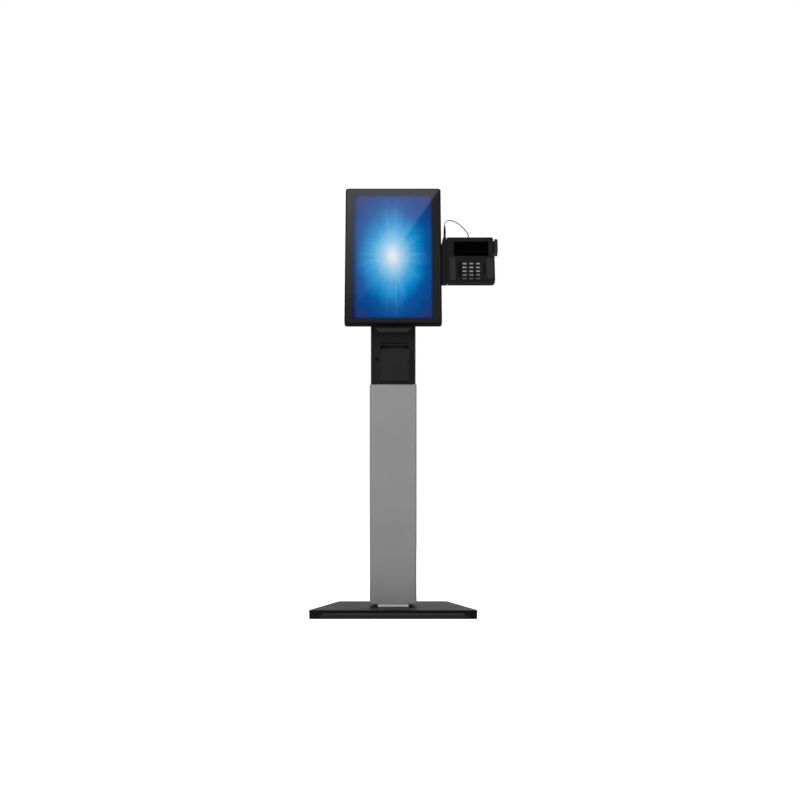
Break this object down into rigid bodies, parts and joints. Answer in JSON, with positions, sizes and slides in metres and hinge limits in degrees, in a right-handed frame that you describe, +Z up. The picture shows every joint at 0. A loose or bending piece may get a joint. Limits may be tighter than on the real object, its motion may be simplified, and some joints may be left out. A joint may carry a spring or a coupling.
{
  "type": "card payment terminal",
  "caption": "Free-standing card payment terminal: tilted touch screen with a side card terminal and stylus, receipt printer, silver column and flat black floor base.",
  "frame": {"origin": "centre of the base plate underside, on the floor", "axes": "+Z up, -Y towards the person using it, +X to the right as seen by that person"},
  "size_m": [0.6318, 0.408, 1.4506],
  "materials": {
    "base_black": "satin black powder coat",
    "column_silver": "satin silver powder coat",
    "black_plastic": "fine-grained black moulding",
    "glass_black": "polished black glass",
    "screen_blue": "lit screen panel",
    "screen_dark": "unlit screen panel",
    "bare_steel": "ground steel",
    "head_grey": "satin print head body",
    "black_rubber": "matt rubber",
    "board_green": "circuit board lacquer",
    "paper_white": "thermal receipt paper",
    "lamp_clear": "clear light pipe",
    "key_grey": "satin silicone key",
    "key_red": "satin silicone key",
    "key_yellow": "satin silicone key",
    "key_green": "satin silicone key"
  },
  "bodies": {
    "stand": {"base_plate": "base_black", "base_cover": "base_black", "column_plinth": "column_silver", "column_shell": "column_silver", "column_back_cover": "column_silver", "power_inlet": "black_plastic", "printer_housing": "black_plastic", "printer_case": "black_plastic", "printer_led": "lamp_clear", "tear_bar": "bare_steel", "thermal_head": "head_grey", "head_mast": "base_black", "tilt_yoke": "base_black", "tilt_pin": "bare_steel"},
    "head": {"display_frame": "black_plastic", "touch_glass": "glass_black", "lcd_panel": "screen_blue", "rear_cover": "black_plastic", "main_board": "board_green", "head_plate": "base_black", "terminal_arm": "base_black", "terminal_cradle": "base_black", "terminal_top_case": "black_plastic", "terminal_bottom_case": "black_plastic", "terminal_lens": "glass_black", "terminal_screen": "screen_dark", "keypad_mat": "black_rubber", "terminal_board": "board_green", "swipe_rail": "black_plastic", "chip_card_reader": "black_plastic", "cord_boss": "black_rubber", "stylus_holder": "black_plastic", "stylus_cord": "black_rubber"},
    "printer_cover": {"printer_cover": "black_plastic"},
    "platen": {"platen_roller": "black_rubber"},
    "receipt_roll": {"paper_roll": "paper_white"},
    "power_button": {"power_button": "black_plastic"},
    "stylus": {"stylus": "black_plastic"},
    "key_1": {"key_1": "key_grey"},
    "key_2": {"key_2": "key_grey"},
    "key_3": {"key_3": "key_grey"},
    "key_4": {"key_4": "key_grey"},
    "key_5": {"key_5": "key_grey"},
    "key_6": {"key_6": "key_grey"},
    "key_7": {"key_7": "key_grey"},
    "key_8": {"key_8": "key_grey"},
    "key_9": {"key_9": "key_grey"},
    "key_star": {"key_star": "key_grey"},
    "key_0": {"key_0": "key_grey"},
    "key_hash": {"key_hash": "key_grey"},
    "key_cancel": {"key_cancel": "key_red"},
    "key_clear": {"key_clear": "key_yellow"},
    "key_enter": {"key_enter": "key_green"}
  },
  "joints": [
    {"name": "display_tilt", "type": "hinge", "parent": "stand", "child": "head", "pos_m": [0, 0.0034, 1.1824], "axis": [1, 0, 0], "range_deg": [-10, 10]},
    {"name": "printer_cover_hinge", "type": "hinge", "parent": "stand", "child": "printer_cover", "pos_m": [0, -0.056, 0.792], "axis": [1, 0, 0], "range_deg": [0, 85]},
    {"name": "platen_spin", "type": "hinge", "parent": "printer_cover", "child": "platen", "pos_m": [0, -0.0465, 0.897], "axis": [1, 0, 0], "continuous": true},
    {"name": "receipt_roll_spin", "type": "hinge", "parent": "stand", "child": "receipt_roll", "pos_m": [0, -0.008, 0.8233], "axis": [1, 0, 0], "continuous": true},
    {"name": "power_button_press", "type": "slide", "parent": "stand", "child": "power_button", "axis": [0, 1, 0], "range_m": [0, 0.001], "stiffness_N_per_m": 400},
    {"name": "stylus_pull", "type": "slide", "parent": "head", "child": "stylus", "axis": [0, 0.4226, 0.9063], "range_m": [0, 0.02], "deforming": ["stylus_cord"]},
    {"name": "terminal_key_1", "type": "slide", "parent": "head", "child": "key_1", "axis": [0, 0.9063, -0.4226], "range_m": [0, 0.0015], "stiffness_N_per_m": 400},
    {"name": "terminal_key_2", "type": "slide", "parent": "head", "child": "key_2", "axis": [0, 0.9063, -0.4226], "range_m": [0, 0.0015], "stiffness_N_per_m": 400},
    {"name": "terminal_key_3", "type": "slide", "parent": "head", "child": "key_3", "axis": [0, 0.9063, -0.4226], "range_m": [0, 0.0015], "stiffness_N_per_m": 400},
    {"name": "terminal_key_4", "type": "slide", "parent": "head", "child": "key_4", "axis": [0, 0.9063, -0.4226], "range_m": [0, 0.0015], "stiffness_N_per_m": 400},
    {"name": "terminal_key_5", "type": "slide", "parent": "head", "child": "key_5", "axis": [0, 0.9063, -0.4226], "range_m": [0, 0.0015], "stiffness_N_per_m": 400},
    {"name": "terminal_key_6", "type": "slide", "parent": "head", "child": "key_6", "axis": [0, 0.9063, -0.4226], "range_m": [0, 0.0015], "stiffness_N_per_m": 400},
    {"name": "terminal_key_7", "type": "slide", "parent": "head", "child": "key_7", "axis": [0, 0.9063, -0.4226], "range_m": [0, 0.0015], "stiffness_N_per_m": 400},
    {"name": "terminal_key_8", "type": "slide", "parent": "head", "child": "key_8", "axis": [0, 0.9063, -0.4226], "range_m": [0, 0.0015], "stiffness_N_per_m": 400},
    {"name": "terminal_key_9", "type": "slide", "parent": "head", "child": "key_9", "axis": [0, 0.9063, -0.4226], "range_m": [0, 0.0015], "stiffness_N_per_m": 400},
    {"name": "terminal_key_star", "type": "slide", "parent": "head", "child": "key_star", "axis": [0, 0.9063, -0.4226], "range_m": [0, 0.0015], "stiffness_N_per_m": 400},
    {"name": "terminal_key_0", "type": "slide", "parent": "head", "child": "key_0", "axis": [0, 0.9063, -0.4226], "range_m": [0, 0.0015], "stiffness_N_per_m": 400},
    {"name": "terminal_key_hash", "type": "slide", "parent": "head", "child": "key_hash", "axis": [0, 0.9063, -0.4226], "range_m": [0, 0.0015], "stiffness_N_per_m": 400},
    {"name": "terminal_key_cancel", "type": "slide", "parent": "head", "child": "key_cancel", "axis": [0, 0.9063, -0.4226], "range_m": [0, 0.0015], "stiffness_N_per_m": 400},
    {"name": "terminal_key_clear", "type": "slide", "parent": "head", "child": "key_clear", "axis": [0, 0.9063, -0.4226], "range_m": [0, 0.0015], "stiffness_N_per_m": 400},
    {"name": "terminal_key_enter", "type": "slide", "parent": "head", "child": "key_enter", "axis": [0, 0.9063, -0.4226], "range_m": [0, 0.0015], "stiffness_N_per_m": 400}
  ]
}
